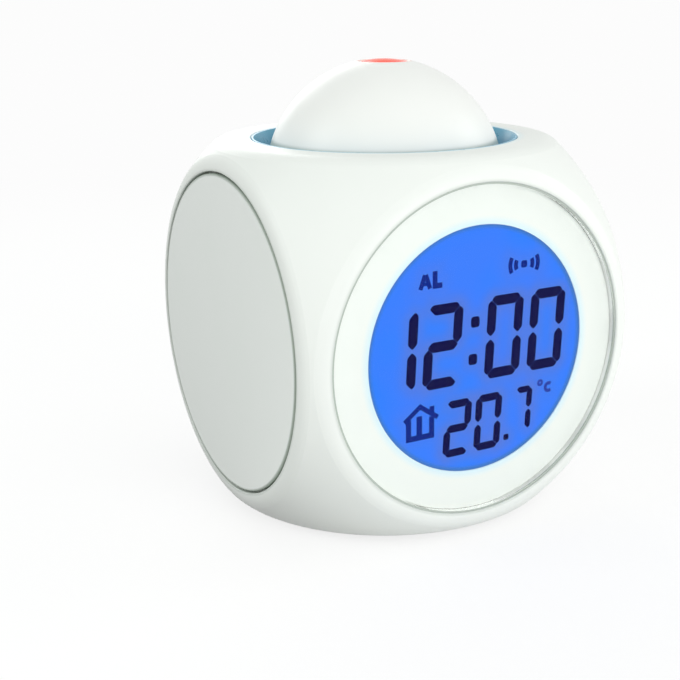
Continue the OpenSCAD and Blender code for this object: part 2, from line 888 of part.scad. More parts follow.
// A channel under the light ring, with pins that guide the dome and a bridge that carries its switch.
module top_frame() {
    shelf = frame_low + frame_lip_t;
    rail_top = ring_base - ring_board_t;
    color(soft_white) from_centre() difference() {
        union() {
            rotate_extrude($fn = fine) polygon([
                [frame_in_r, frame_low], [frame_out_r, frame_low], [frame_out_r, rail_top],
                [frame_out_r - frame_wall_t, rail_top], [frame_out_r - frame_wall_t, shelf],
                [frame_in_r + frame_sill, shelf], [frame_in_r + frame_sill, rail_top - frame_wall_t],
                [frame_in_r, rail_top - frame_wall_t]
            ]);
            at_corners(frame_boss, frame_boss) translate([0, 0, frame_low])
                cylinder(r = frame_ear_r, h = frame_lip_t, $fn = round_fn);
            for (a = dome_pin_turns) rotate([0, 0, a]) translate([pin_at, 0, pin_low])
                cylinder(r = pin_r, h = shelf - pin_low, $fn = round_fn);
            translate([-bridge_w / 2, -leg_out, bridge_low]) cube([bridge_w, 2 * leg_out, bridge_t]);
            translate([0, 0, bridge_low]) cylinder(r = coil_r + 2, h = bridge_t, $fn = round_fn);
            for (s = [-1, 1]) translate([-bridge_w / 2, s > 0 ? leg_in : -leg_out, bridge_low])
                cube([bridge_w, leg_out - leg_in, frame_low - bridge_low + 0.5]);
        }
        at_corners(frame_boss, frame_boss) translate([0, 0, frame_low - past])
            cylinder(r = board_hole_r, h = frame_lip_t + 2 * past, $fn = round_fn);
    }
}

module dome_switch() {
    low = bridge_low + bridge_t;
    reach = carrier_low - projector_board_t - dome_travel - 0.1 - low;
    color(dark) from_centre() translate([0, 0, low]) tact_switch(dome_switch_h, 1.7, reach - dome_switch_h);
}

// Middle of the wire after i steps along the coil, which rises from z = 0 to h.
function coil_middle(i, h) = let (a = 360 * i / coil_steps)
    [coil_r * cos(a), coil_r * sin(a), h * i / (coil_turns * coil_steps)];

// The corners of the wire's cross-section after i steps, ground flat where they would pass z = 0 or h.
function coil_ring(i, h) = let (m = coil_middle(i, h), out = [m[0], m[1], 0] / coil_r)
    [for (k = [0 : coil_sides - 1])
        let (b = 360 * k / coil_sides, p = m + wire_r * (cos(b) * out + sin(b) * [0, 0, 1]))
            [p[0], p[1], max(0, min(h, p[2]))]];

// A compression spring of height h with ground ends, one unbroken tube of round wire standing on z = 0.
module coil(h) {
    steps = coil_turns * coil_steps;
    n = coil_sides;
    last = steps * n;
    points = [for (i = [0 : steps]) each coil_ring(i, h)];
    sides = [for (i = [0 : steps - 1], k = [0 : n - 1])
        let (a = i * n + k, b = i * n + (k + 1) % n)
            each [[a, b, b + n], [a, b + n, a + n]]];
    low_end = [for (k = [2 : n - 1]) [1, (k + 1) % n, k]];
    high_end = [for (k = [0 : n - 3]) [last + n - 1, last + k, last + k + 1]];
    rise = [for (i = [0 : steps - coil_steps]) norm(coil_middle(i + coil_steps, h) - coil_middle(i, h))];
    echo(least_gap_between_turns = min(rise) - 2 * wire_r);
    polyhedron(points, concat(sides, low_end, high_end));
}

module dome_spring() {
    low = bridge_low + bridge_t;
    color(metal) from_centre() translate([0, 0, low]) coil(carrier_low - low);
}

module dome_section() {
    difference() {
        union() {
            intersection() {
                translate([0, dome_z]) circle(r = dome_r, $fn = fine);
                translate([0, dome_z]) square([dome_r, dome_top - dome_z]);
            }
            translate([0, skirt_low]) square([dome_r, dome_z - skirt_low]);
            translate([0, skirt_low]) square([flange_r, flange_top - skirt_low]);
        }
        translate([0, dome_z]) circle(r = dome_r - dome_t, $fn = fine);
        translate([0, skirt_low - 1]) square([dome_r - dome_t, dome_z - skirt_low + 1]);
        square([nozzle_r, body_w]);
    }
}

module dome_cover() {
    color(white) from_centre() difference() {
        union() {
            rotate_extrude($fn = fine) dome_section();
            intersection() {
                translate([0, 0, dome_z]) sphere(r = dome_r - dome_t / 2, $fn = fine);
                translate([0, 0, carrier_top]) posts_around(post_at, post_turns, post_r, dome_r);
            }
            translate([0, 0, skirt_low])
                posts_around(pin_at, dome_pin_turns, pin_ear_r, flange_top - skirt_low);
        }
        translate([0, 0, dome_top]) edge_break(nozzle_r, nozzle_break);
        translate([0, 0, skirt_low - past])
            posts_around(pin_at, dome_pin_turns, pin_r + pin_slack, flange_top - skirt_low + 2 * past);
        translate([0, 0, carrier_top - past])
            posts_around(post_at, post_turns, post_pilot_r, post_pilot_l + past);
    }
}

// --- Projector ---

module projector_tube() {
    shoulder = dome_z + sqrt(pow(dome_r - dome_t, 2) - pow(tube_r, 2)) - 0.3;
    rim = dome_top - 0.1;
    color(white) from_centre() difference() {
        rotate_extrude($fn = fine) polygon([
            [tube_r - 1.2, carrier_low], [carrier_r, carrier_low], [carrier_r, carrier_top],
            [tube_r, carrier_top], [tube_r, shoulder], [nozzle_r - 0.1, shoulder], [nozzle_r - 0.1, rim],
            [eye_r + 0.05, rim], [eye_r + 0.05, rim - 0.9], [eye_r - 0.6, rim - 0.9],
            [eye_r - 0.6, shoulder - 0.6], [tube_r - 1.2, shoulder - 1.8]
        ]);
        translate([0, 0, carrier_low - past])
            posts_around(post_at, post_turns, post_pilot_r + post_slack,
                         carrier_top - carrier_low + 2 * past);
    }
}

module projector_lens() {
    rim = dome_top - 0.1;
    bulge_r = (pow(eye_r, 2) + pow(eye_bulge, 2)) / (2 * eye_bulge);
    color([1, 0.35, 0.2]) from_centre() intersection() {
        translate([0, 0, rim - 0.85]) cylinder(r = eye_r, h = 3, $fn = fine);
        translate([0, 0, rim + eye_bulge - bulge_r]) sphere(r = bulge_r, $fn = fine);
    }
}

module condenser_lens() {
    color([0.9, 0.95, 1]) from_centre() intersection() {
        translate([0, 0, condenser_z]) cylinder(r = tube_r - 1.25, h = 3, $fn = fine);
        translate([0, 0, condenser_ball_z]) sphere(r = condenser_ball, $fn = fine);
    }
}

module image_slide() {
    color(dark) from_centre() translate([-slide_w / 2, -slide_w / 2, slide_z])
        cube([slide_w, slide_w, slide_t]);
}

module projector_led() {
    color([0.9, 0.2, 0.15]) from_centre() translate([0, 0, carrier_low]) {
        cylinder(r = lamp_rim_r, h = 1, $fn = round_fn);
        cylinder(r = lamp_r, h = lamp_h, $fn = round_fn);
        translate([0, 0, lamp_h]) intersection() {
            sphere(r = lamp_r, $fn = round_fn);
            cylinder(r = lamp_rim_r, h = lamp_r + 1, $fn = round_fn);
        }
    }
}

module projector_board() {
    color(board_green) from_centre() translate([0, 0, carrier_low - projector_board_t])
        cylinder(r = projector_board_r, h = projector_board_t, $fn = fine);
}

// --- Screws ---

module dome_screws() {
    color(metal) from_centre() translate([0, 0, carrier_low]) for (a = post_turns)
        rotate([0, 0, a]) translate([post_at, 0, 0]) rotate([180, 0, 0]) screw(dome_screw);
}

module shell_screws() {
    color(metal) from_centre() rotate(rear) at_corners(boss_at, boss_at)
        translate([0, 0, well_end]) screw(shell_screw);
}

module frame_screws() {
    color(metal) from_centre() at_corners(frame_boss, frame_boss)
        translate([0, 0, frame_low]) rotate([180, 0, 0]) screw(frame_screw);
}

module board_screws() {
    color(metal) from_centre() {
        face(front, board_depth + board_t) at_corners(board_boss[0], board_boss[1])
            rotate([180, 0, 0]) screw(board_screw);
        face(rear, key_board_depth + key_board_t) translate([0, panel_y, 0])
            at_corners(key_post[0], key_post[1]) rotate([180, 0, 0]) screw(key_screw);
    }
}

module box_screws() {
    color(metal) from_centre() at_corners(lug_at[0], lug_at[1])
        translate([0, 0, lug_z + lug_t]) screw(box_screw);
}

front_shell();
rear_shell();
front_lens();
lens_gasket();
mask_ring();
lcd_panel();
lcd_holder();
backlight_diffuser();
backlight_leds();
contact_strips();
main_board();
board_parts();
left_cap();
right_cap();
rear_cap();
key_mode();
key_set();
key_up();
key_down();
key_board();
key_switches();
speaker();
speaker_gasket();
battery_box();
battery_contacts();
cell_left();
cell_middle();
cell_right();
light_ring();
ring_board();
ring_leds();
top_frame();
dome_switch();
dome_spring();
dome_cover();
projector_tube();
projector_lens();
condenser_lens();
image_slide();
projector_led();
projector_board();
dome_screws();
shell_screws();
frame_screws();
board_screws();
box_screws();
base_cover();
feet();
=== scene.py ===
import bpy
import numpy as np
from mathutils import Matrix, Vector


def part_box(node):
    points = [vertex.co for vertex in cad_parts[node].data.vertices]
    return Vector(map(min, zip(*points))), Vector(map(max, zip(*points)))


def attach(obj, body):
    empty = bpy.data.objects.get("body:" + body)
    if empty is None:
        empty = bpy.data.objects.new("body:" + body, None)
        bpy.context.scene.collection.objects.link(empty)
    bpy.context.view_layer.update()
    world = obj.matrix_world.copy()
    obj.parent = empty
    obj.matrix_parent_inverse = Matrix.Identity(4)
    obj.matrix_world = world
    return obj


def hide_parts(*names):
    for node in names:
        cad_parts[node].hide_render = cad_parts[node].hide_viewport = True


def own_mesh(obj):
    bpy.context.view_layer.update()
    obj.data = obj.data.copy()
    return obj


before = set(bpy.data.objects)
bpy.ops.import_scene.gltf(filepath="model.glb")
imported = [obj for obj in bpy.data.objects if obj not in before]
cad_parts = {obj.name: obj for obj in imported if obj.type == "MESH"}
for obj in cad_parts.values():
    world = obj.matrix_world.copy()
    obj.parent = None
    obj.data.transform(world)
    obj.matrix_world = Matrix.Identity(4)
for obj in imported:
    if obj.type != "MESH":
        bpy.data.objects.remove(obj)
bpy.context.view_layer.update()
MM = 0.001


# --- Camera ---
# The photograph looks a little down on the clock, from its left. The lens is shifted because the photograph is cut
# from a wider picture whose middle lies above and to the right of this one's.
VIEW_TURN = np.radians(-30.1)
VIEW_RISE = np.radians(15.0)
VIEW_ROLL = np.radians(-0.3)
VIEW_DISTANCE = 285 * MM
SENSOR_MM = 36
PHOTO_PX = 680
FOCAL_PX = 1235
MIDDLE_PX = (385.1, 308.5)

cap_low, cap_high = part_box("left_cap")
CENTRE = Vector((0, 0, (cap_low.z + cap_high.z) / 2))


def look_from(turn, rise, roll, distance, target):
    """Camera matrix: the eye lies at distance from target, turned about +Z and raised, with +Z up in the picture."""
    back = Vector((np.sin(turn) * np.cos(rise), -np.cos(turn) * np.cos(rise), np.sin(rise)))
    right = (-back).cross(Vector((0, 0, 1))).normalized()
    axes = Matrix((right, back.cross(right), back)).transposed().to_4x4()
    return Matrix.Translation(target + back * distance) @ axes @ Matrix.Rotation(roll, 4, "Z")


def new_object(name, data):
    """An object that shows data, at the origin and linked to the scene."""
    piece = bpy.data.objects.new(name, data)
    bpy.context.scene.collection.objects.link(piece)
    return piece


camera = new_object("camera", bpy.data.cameras.new("camera"))
camera.matrix_world = look_from(VIEW_TURN, VIEW_RISE, VIEW_ROLL, VIEW_DISTANCE, CENTRE)
camera.data.sensor_width = SENSOR_MM
camera.data.lens = FOCAL_PX / PHOTO_PX * SENSOR_MM
camera.data.shift_x = 0.5 - MIDDLE_PX[0] / PHOTO_PX
camera.data.shift_y = MIDDLE_PX[1] / PHOTO_PX - 0.5
camera.data.clip_start = 10 * MM
bpy.context.scene.camera = camera
bpy.context.scene.view_settings.view_transform = "Standard"


# --- Studio ---
# A pale floor that keeps the clock's shadow, soft lamps in front, on both sides and behind, and an even pale room.
# The camera and reflections see white paper, which lights nothing. The light that the floor throws back up at the
# clock is strong in front of the clock and weak towards the left and the rear.
FLOOR_HALF = 3.0
PAPER = 0.975
LIT_PAPER = 0.8
SHADOW_SHARE = 0.25
SHADOW_NEAR, SHADOW_FAR = 0.12, 0.5
BOUNCE_TOWARDS = (0.35, -0.94, 0)
BOUNCE_FROM, BOUNCE_TO = -30 * MM, 60 * MM
BOUNCE_WEAK, BOUNCE_STRONG = 0.05, 0.8
ROOM_LIGHT = 0.6
ROOM_TINT = (0.97, 1.0, 0.985)


def add(tree, kind, inputs=None, **settings):
    """Adds a shader node. Each entry of inputs sets the socket of that name or number, or links it to an output."""
    node = tree.nodes.new("ShaderNode" + kind)
    for key, value in settings.items():
        setattr(node, key, value)
    for socket, value in (inputs or {}).items():
        if isinstance(value, bpy.types.NodeSocket):
            tree.links.new(value, node.inputs[socket])
        else:
            node.inputs[socket].default_value = value
    return node


def math(tree, operation, first, second=0.0):
    """The result of one Math node."""
    return add(tree, "Math", {0: first, 1: second}, operation=operation).outputs[0]


def vector_math(tree, operation, first, second=(0, 0, 0)):
    """The result of one Vector Math node: a number where the operation gives one, else a vector."""
    node = add(tree, "VectorMath", {0: first, 1: second}, operation=operation)
    return node.outputs["Value" if operation in ("LENGTH", "DOT_PRODUCT") else "Vector"]


def ramp(tree, value, start, end, low=0.0, high=1.0):
    """A smooth step: low up to start, high from end on."""
    steps = {0: value, 1: start, 2: end, 3: low, 4: high}
    return add(tree, "MapRange", steps, interpolation_type="SMOOTHSTEP").outputs[0]


def spread(tree, value, start, end, low=0.0, high=1.0):
    """A straight ramp from low at start to high at end."""
    return add(tree, "MapRange", {0: value, 1: start, 2: end, 3: low, 4: high}).outputs[0]


def blend(tree, share, colour, over):
    """Colour where share is 0 and over where it is 1."""
    return add(tree, "Mix", {0: share, 6: colour, 7: over}, data_type="RGBA").outputs[2]


def object_place(tree):
    """Where a point lies: the frame's own coordinates, because every piece's object sits at the origin."""
    return add(tree, "TexCoord").outputs["Object"]


def empty_tree(owner):
    """The node tree of a material or world, with nothing in it but an output node, and that output."""
    owner.use_nodes = True
    tree = owner.node_tree
    tree.nodes.clear()
    kind = "OutputWorld" if isinstance(owner, bpy.types.World) else "OutputMaterial"
    return tree, add(tree, kind)


def seen_directly(tree):
    """1 for camera, glossy and transmission rays, 0 for the rays that carry light."""
    path = add(tree, "LightPath")
    either = math(tree, "MAXIMUM", path.outputs["Is Camera Ray"], path.outputs["Is Glossy Ray"])
    return math(tree, "MAXIMUM", either, path.outputs["Is Transmission Ray"])


def lamp(name, place, size, watts, colour):
    """A square soft lamp at place that faces the middle of the clock."""
    light = bpy.data.lights.new(name, "AREA")
    light.size = size
    light.energy = watts
    light.color = colour
    holder = new_object(name, light)
    facing = (CENTRE - Vector(place)).to_track_quat("-Z", "Y").to_matrix().to_4x4()
    holder.matrix_world = Matrix.Translation(place) @ facing


world = bpy.data.worlds.new("pale_room")
bpy.context.scene.world = world
tree, output = empty_tree(world)
room = add(tree, "Background", {"Color": (*ROOM_TINT, 1), "Strength": ROOM_LIGHT})
paper = add(tree, "Background", {"Color": (PAPER, PAPER, PAPER, 1), "Strength": 1.0})
either = add(tree, "MixShader", {0: seen_directly(tree), 1: room.outputs[0], 2: paper.outputs[0]})
tree.links.new(either.outputs[0], output.inputs[0])

floor_mesh = bpy.data.meshes.new("studio_floor")
corners = FLOOR_HALF * np.array([[-1, -1, 0], [1, -1, 0], [1, 1, 0], [-1, 1, 0]])
floor_mesh.from_pydata(corners.tolist(), [], [(0, 1, 2, 3)])
floor = new_object("studio_floor", floor_mesh)
floor_paper = bpy.data.materials.new("studio_paper")
floor_mesh.materials.append(floor_paper)
tree, output = empty_tree(floor_paper)
forward = vector_math(tree, "DOT_PRODUCT", object_place(tree), BOUNCE_TOWARDS)
thrown = ramp(tree, forward, BOUNCE_FROM, BOUNCE_TO, BOUNCE_WEAK, BOUNCE_STRONG)
bounce = add(tree, "BsdfDiffuse", {"Color": thrown})
away = vector_math(tree, "LENGTH", object_place(tree))
near = ramp(tree, away, SHADOW_NEAR, SHADOW_FAR, SHADOW_SHARE, 0.0)
soft = add(tree, "BsdfDiffuse", {"Color": near})
lift = add(tree, "Emission", {"Strength": math(tree, "SUBTRACT", PAPER, math(tree, "MULTIPLY", near, LIT_PAPER))})
lifted = add(tree, "AddShader", {0: soft.outputs[0], 1: lift.outputs[0]})
either = add(tree, "MixShader", {0: seen_directly(tree), 1: bounce.outputs[0], 2: lifted.outputs[0]})
tree.links.new(either.outputs[0], output.inputs[0])

lamp("key_lamp", (0.3, -1.1, 0.24), 0.45, 3.3, (1.0, 1.0, 0.99))
lamp("left_front_lamp", (-0.6, -1.0, 0.3), 0.5, 2.2, (1.0, 1.0, 1.0))
lamp("left_lamp", (-1.1, 0.3, 0.7), 0.6, 4.0, (0.96, 1.0, 0.97))
lamp("right_lamp", (1.1, -0.3, 0.4), 0.6, 2.4, (1.0, 1.0, 1.0))
lamp("rear_lamp", (0.2, 1.1, 0.45), 0.6, 2.6, (1.0, 1.0, 1.0))


# --- Housing ---
# The front and rear shells are injection moulded in white plastic with a fine satin gloss. They meet halfway back in
# a tongue and groove and are drawn together by four long screws from behind. Painted shade and dust darken the seams.
SEAM_R = 34.6 * MM
SEAM_CORE = 0.3 * MM
SEAM_REACH = 1.0 * MM
FACE_FLOOR = 38.7 * MM
SEAM_STRENGTH = {(-1, 0, 0): 1.0, (1, 0, 0): 1.0, (0, -1, 0): 0.9, (0, 1, 0): 1.0, (0, 0, -1): 1.0}
OPENING_R = 29.5 * MM
SPILL_REACH = 2 * MM
POLISH_SWING = 0.05


def linear(red, green, blue):
    """A colour given in the 0 to 255 steps of a picture, as the linear values that the shader works in."""
    steps = np.array([red, green, blue]) / 255
    low = steps / 12.92
    high = ((steps + 0.055) / 1.055) ** 2.4
    return (*np.where(steps <= 0.04045, low, high).tolist(), 1.0)


def make_group(name, inputs, outputs):
    """An empty shader node group with the given sockets: its tree, its input node and its output node."""
    group = bpy.data.node_groups.new(name, "ShaderNodeTree")
    for socket, kind in inputs.items():
        group.interface.new_socket(name=socket, in_out="INPUT", socket_type="NodeSocket" + kind)
    for socket, kind in outputs.items():
        group.interface.new_socket(name=socket, in_out="OUTPUT", socket_type="NodeSocket" + kind)
    return group, group.nodes.new("NodeGroupInput"), group.nodes.new("NodeGroupOutput")


def moulded_skin():
    """Group for moulded plastic: broad uneven colour, fine grain for the height, and gloss that follows the grain."""
    inputs = {"Colour": "Color", "Shade": "Color", "Polish": "Float", "Grain": "Float"}
    outputs = {"Colour": "Color", "Roughness": "Float", "Height": "Float"}
    group, given, result = make_group("moulded_skin", inputs, outputs)
    place = object_place(group)
    clouds = add(group, "TexNoise", {"Vector": place, "Scale": 32.0, "Detail": 3.0, "Roughness": 0.6}).outputs[0]
    fine = {"Vector": place, "Scale": given.outputs["Grain"], "Detail": 3.0, "Roughness": 0.5}
    grain = add(group, "TexNoise", fine).outputs[0]
    tinted = blend(group, spread(group, clouds, 0.35, 0.75), given.outputs["Colour"], given.outputs["Shade"])
    swing = spread(group, grain, 0.3, 0.7, -POLISH_SWING, POLISH_SWING)
    group.links.new(tinted, result.inputs["Colour"])
    group.links.new(math(group, "ADD", swing, given.outputs["Polish"]), result.inputs["Roughness"])
    group.links.new(grain, result.inputs["Height"])
    return group


def seam_dust_and_shade():
    """Group for the dust and painted shade in the seams. For each face it takes the distance from the axis through
    the
    face: the mask is full near the seam's radius, 0 a little away from it, and counts only at the face."""
    group, given, result = make_group("seam_dust_and_shade", {}, {"Mask": "Float"})
    arm = vector_math(group, "SUBTRACT", object_place(group), CENTRE)
    mask = 0.0
    for face, strength in SEAM_STRENGTH.items():
        radius = vector_math(group, "LENGTH", vector_math(group, "CROSS_PRODUCT", arm, face))
        off = math(group, "ABSOLUTE", math(group, "SUBTRACT", radius, SEAM_R))
        at_face = math(group, "GREATER_THAN", vector_math(group, "DOT_PRODUCT", arm, face), FACE_FLOOR)
        line = math(group, "MULTIPLY", ramp(group, off, SEAM_CORE, SEAM_REACH, strength, 0.0), at_face)
        mask = math(group, "MAXIMUM", mask, line)
    group.links.new(mask, result.inputs["Mask"])
    return group


def round_spot():
    """Group for what lies round a line along Axis through Middle: Strength up to Near from it, 0 from Far on."""
    inputs = {"Axis": "Vector", "Middle": "Vector", "Near": "Float", "Far": "Float", "Strength": "Float"}
    group, given, result = make_group("round_spot", inputs, {"Mask": "Float"})
    arm = vector_math(group, "SUBTRACT", object_place(group), given.outputs["Middle"])
    radius = vector_math(group, "LENGTH", vector_math(group, "CROSS_PRODUCT", arm, given.outputs["Axis"]))
    mask = ramp(group, radius, given.outputs["Near"], given.outputs["Far"], given.outputs["Strength"], 0.0)
    group.links.new(mask, result.inputs["Mask"])
    return group


skin = moulded_skin()
dust_and_shade = seam_dust_and_shade()
spot_mask = round_spot()


def in_seams(share):
    """The mask of the painted shade and dust in the seams, at a share of its full strength."""
    return lambda tree: math(tree, "MULTIPLY", add(tree, "Group", node_tree=dust_and_shade).outputs["Mask"], share)


def spot(axis, near, far, middle=CENTRE, strength=1.0):
    """The mask of a round spot with these values."""
    def mask(tree):
        values = {"Axis": axis, "Middle": middle, "Near": near, "Far": far, "Strength": strength}
        return add(tree, "Group", values, node_tree=spot_mask).outputs["Mask"]
    return mask


def plastic(name, colour, shade, polish, grain=1500.0, relief=0.003, marks=(), bare=None, **shader):
    """A moulded plastic: the shared skin feeds colour, roughness and a fine bump. Each of marks is a mask and the
    colour that lies over the rest where it is 1, bare is a mask of plain metal, relief is the bump's height in
    millimetres, and shader sets plain sockets."""
    material = bpy.data.materials.new(name)
    tree, output = empty_tree(material)
    inputs = {"Colour": colour, "Shade": shade, "Polish": polish, "Grain": grain}
    surface = add(tree, "Group", inputs, node_tree=skin)
    tint = surface.outputs["Colour"]
    for mask, over in marks:
        tint = blend(tree, mask(tree), tint, over)
    bump = add(tree, "Bump", {"Strength": 0.12, "Distance": relief * MM, "Height": surface.outputs["Height"]})
    linked = {"Base Color": tint, "Roughness": surface.outputs["Roughness"], "Normal": bump.outputs[0]}
    if bare:
        linked["Metallic"] = bare(tree)
    bsdf = add(tree, "BsdfPrincipled", {**linked, **shader})
    tree.links.new(bsdf.outputs[0], output.inputs[0])
    return material


def dress(material, *names):
    """Gives carried-over CAD nodes their material."""
    for name in names:
        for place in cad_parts[name].material_slots:
            place.material = material


# The seams' grey is painted shade with some dust.
seam_shade_grey = linear(162, 173, 162)
# A painted glow of the light ring tints the shell round the top opening.
painted_ring_glow = (spot((0, 0, 1), OPENING_R, OPENING_R + SPILL_REACH, strength=0.5), linear(222, 246, 252))
shell_marks = [painted_ring_glow, (in_seams(0.35), seam_shade_grey)]
shell_white = plastic("shell_white", linear(245, 248, 244), linear(243, 246, 242), 0.38,
                      marks=shell_marks, **{"Specular IOR Level": 0.25})
dress(shell_white, "front_shell", "rear_shell")


# --- Face discs ---
# The left, right and rear discs are separate mouldings of the same white plastic with a duller finish, and their
# white is a little lighter than the shells': painted light. Pegs behind them press into the shell's floor and leave
# an even seam all around.
# Painted shade and dust darken the discs' rims in the seam.
cap_marks = [(in_seams(1.0), seam_shade_grey)]
cap_white = plastic("cap_white", linear(250, 253, 250), linear(248, 252, 248), 0.45, marks=cap_marks,
                    **{"Specular IOR Level": 0.35})
dress(cap_white, "left_cap", "right_cap", "rear_cap")


# --- Front lens, gasket and mask ---
# The lens is a polished clear acrylic disc, flush with the shell, in a thin ring of pale rubber. A film behind it is
# printed white but for the round window, and a painted glow of the lit display tints the film's edge a little.
WINDOW_R = 26.1 * MM
GLOW_REACH = 2 * MM
LIP_Y = 39.4 * MM
LIP_FADE = 0.3 * MM


def clear_acrylic():
    """Clear acrylic. Rays that carry lamp light and scattered light go straight through to the film behind it."""
    material = bpy.data.materials.new("clear_acrylic")
    tree, output = empty_tree(material)
    smears = add(tree, "TexNoise", {"Vector": object_place(tree), "Scale": 45.0, "Detail": 5.0}).outputs[0]
    clear = {"Base Color": (1, 1, 1, 1), "IOR": 1.1, "Transmission Weight": 1.0}
    glass = add(tree, "BsdfPrincipled", {**clear, "Roughness": spread(tree, smears, 0.3, 0.7, 0.01, 0.05)})
    open_way = add(tree, "BsdfTransparent", {"Color": (0.99, 0.995, 0.99, 1)})
    path = add(tree, "LightPath")
    carrier = math(tree, "MAXIMUM", path.outputs["Is Shadow Ray"], path.outputs["Is Diffuse Ray"])
    mixed = add(tree, "MixShader", {0: carrier, 1: glass.outputs[0], 2: open_way.outputs[0]})
    tree.links.new(mixed.outputs[0], output.inputs[0])
    return material


def below_lip(tree):
    """A mask of the gasket but for its lip, the half millimetre next to the front face, which keeps the rubber's
    grey.
    """
    depth = add(tree, "SeparateXYZ", {0: object_place(tree)}).outputs["Y"]
    return ramp(tree, depth, -LIP_Y, -LIP_Y + LIP_FADE)


# Below its lip the gasket is painted white: painted light that lifts the shade on its inner wall.
seal_rubber = plastic("seal_rubber", linear(184, 192, 184), linear(176, 185, 176), 0.6, grain=900.0,
                      marks=[(below_lip, linear(252, 253, 251))])
painted_window_glow = (spot((0, 1, 0), WINDOW_R, WINDOW_R + GLOW_REACH), linear(226, 247, 255))
printed_film = plastic("printed_film", linear(248, 251, 247), linear(246, 250, 246), 0.5, 3000.0,
                       marks=[painted_window_glow])
dress(clear_acrylic(), "front_lens")
dress(seal_rubber, "lens_gasket")
dress(printed_film, "mask_ring")


# --- Display glass ---
# Two sheets of glass with the liquid crystal between them, lit blue from behind.
def blue_clouds():
    """Group for the display's light: soft clouds between a deep and a pale blue."""
    group, given, result = make_group("blue_clouds", {"Deep": "Color", "Pale": "Color"}, {"Colour": "Color"})
    clouds = add(group, "TexNoise", {"Vector": object_place(group), "Scale": 70.0, "Detail": 1.0}).outputs[0]
    light = blend(group, spread(group, clouds, 0.35, 0.65), given.outputs["Deep"], given.outputs["Pale"])
    group.links.new(light, result.inputs["Colour"])
    return group


clouded_blue = blue_clouds()


def lit_blue(name, deep, pale, cover=None):
    """A surface that shines with the display's light. cover gives what is seen of that light through a shade."""
    material = bpy.data.materials.new(name)
    tree, output = empty_tree(material)
    light = add(tree, "Group", {"Deep": deep, "Pale": pale}, node_tree=clouded_blue).outputs["Colour"]
    if cover:
        light = cover(tree, light)
    lit = {"Base Color": linear(10, 30, 80), "Roughness": 0.25, "Specular IOR Level": 0.0, "Emission Strength": 0.97}
    tree.links.new(add(tree, "BsdfPrincipled", {**lit, "Emission Color": light}).outputs[0], output.inputs[0])
    return material


dress(lit_blue("lit_glass", linear(44, 126, 248), linear(62, 123, 246)), "lcd_panel")


# --- Digits and signs ---
# The dark bars and signs are areas of the liquid crystal, drawn here as thin plates on the front of the glass. The
# time has four large seven-bar digits, the room temperature three smaller ones, and the signs are plain symbols.
GLASS_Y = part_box("lcd_panel")[0].y
PLATE_LOW, PLATE_HIGH = 0.015 * MM, 0.06 * MM
SLANT = np.tan(np.radians(3.3))
CORNER = 0.17
BARS = {"0": "abcdef", "1": "bc", "2": "abged", "7": "abc"}
MIRRORED = {"a": ("a", 1, 1), "b": ("b", 1, 1), "c": ("b", 1, -1), "d": ("a", 1, -1),
            "e": ("b", -1, -1), "f": ("b", -1, 1), "g": ("g", 1, 1)}


def bar_outline(kind, wide, high, stroke):
    """Corners of one bar about the digit's middle. The top bar and the upper right bar meet at a mitre, shortened by
    a hairline, with the digit's outer corner cut off. A middle bar's ends are points. Other bars mirror these."""
    x, z = wide / 2, high / 2
    cut, hairline, gap = 0.75 * stroke, 0.02 * stroke, 0.13 * stroke
    source, flip_x, flip_z = MIRRORED[kind]
    if source == "a":
        end = x - cut / 2 - hairline
        inner = x - stroke - hairline
        points = [(-end, z - cut / 2), (-inner, z - stroke), (inner, z - stroke),
                  (end, z - cut / 2), (x - cut, z), (cut - x, z)]
    elif source == "b":
        points = [(x - stroke / 2, gap), (x, gap + stroke / 2), (x, z - cut), (x - cut / 2, z - cut / 2 - hairline),
                  (x - stroke, z - stroke - hairline), (x - stroke, gap + stroke / 2)]
    else:
        tip = x - stroke / 2 + 0.9 * gap
        points = [(-tip, 0), (stroke / 2 - tip, -stroke / 2), (tip - stroke / 2, -stroke / 2), (tip, 0),
                  (tip - stroke / 2, stroke / 2), (stroke / 2 - tip, stroke / 2)]
    outline = np.array(points) * (flip_x, flip_z)
    return outline if flip_x * flip_z > 0 else outline[::-1]


def soften(outline, reach, steps=4):
    """Rounds every corner: a quadratic curve from reach before the corner to reach after it, pulled by the corner."""
    before = np.roll(outline, 1, axis=0) - outline
    after = np.roll(outline, -1, axis=0) - outline
    start = outline + before / np.linalg.norm(before, axis=1, keepdims=True) * reach
    end = outline + after / np.linalg.norm(after, axis=1, keepdims=True) * reach
    t = np.linspace(0, 1, steps)[None, :, None]
    curve = start[:, None] * (1 - t) ** 2 + outline[:, None] * 2 * t * (1 - t) + end[:, None] * t ** 2
    return curve.reshape(-1, 2)


def digit(mark, middle, wide, high, stroke):
    """Outlines of a digit's bars in millimetres on the display, leaning to the right by the display's slant."""
    bars = [soften(bar_outline(kind, wide, high, stroke), CORNER * stroke) for kind in BARS[mark]]
    return [np.column_stack([bar[:, 0] + bar[:, 1] * SLANT, bar[:, 1]]) + middle for bar in bars]


def round_mark(middle, wide, high, steps=24):
    """Outline of a rounded square: a superellipse of fourth power."""
    a = np.linspace(0, 2 * np.pi, steps, endpoint=False)
    c, s = np.cos(a), np.sin(a)
    shape = np.column_stack([np.sign(c) * np.sqrt(np.abs(c)) * wide / 2, np.sign(s) * np.sqrt(np.abs(s)) * high / 2])
    return shape + middle


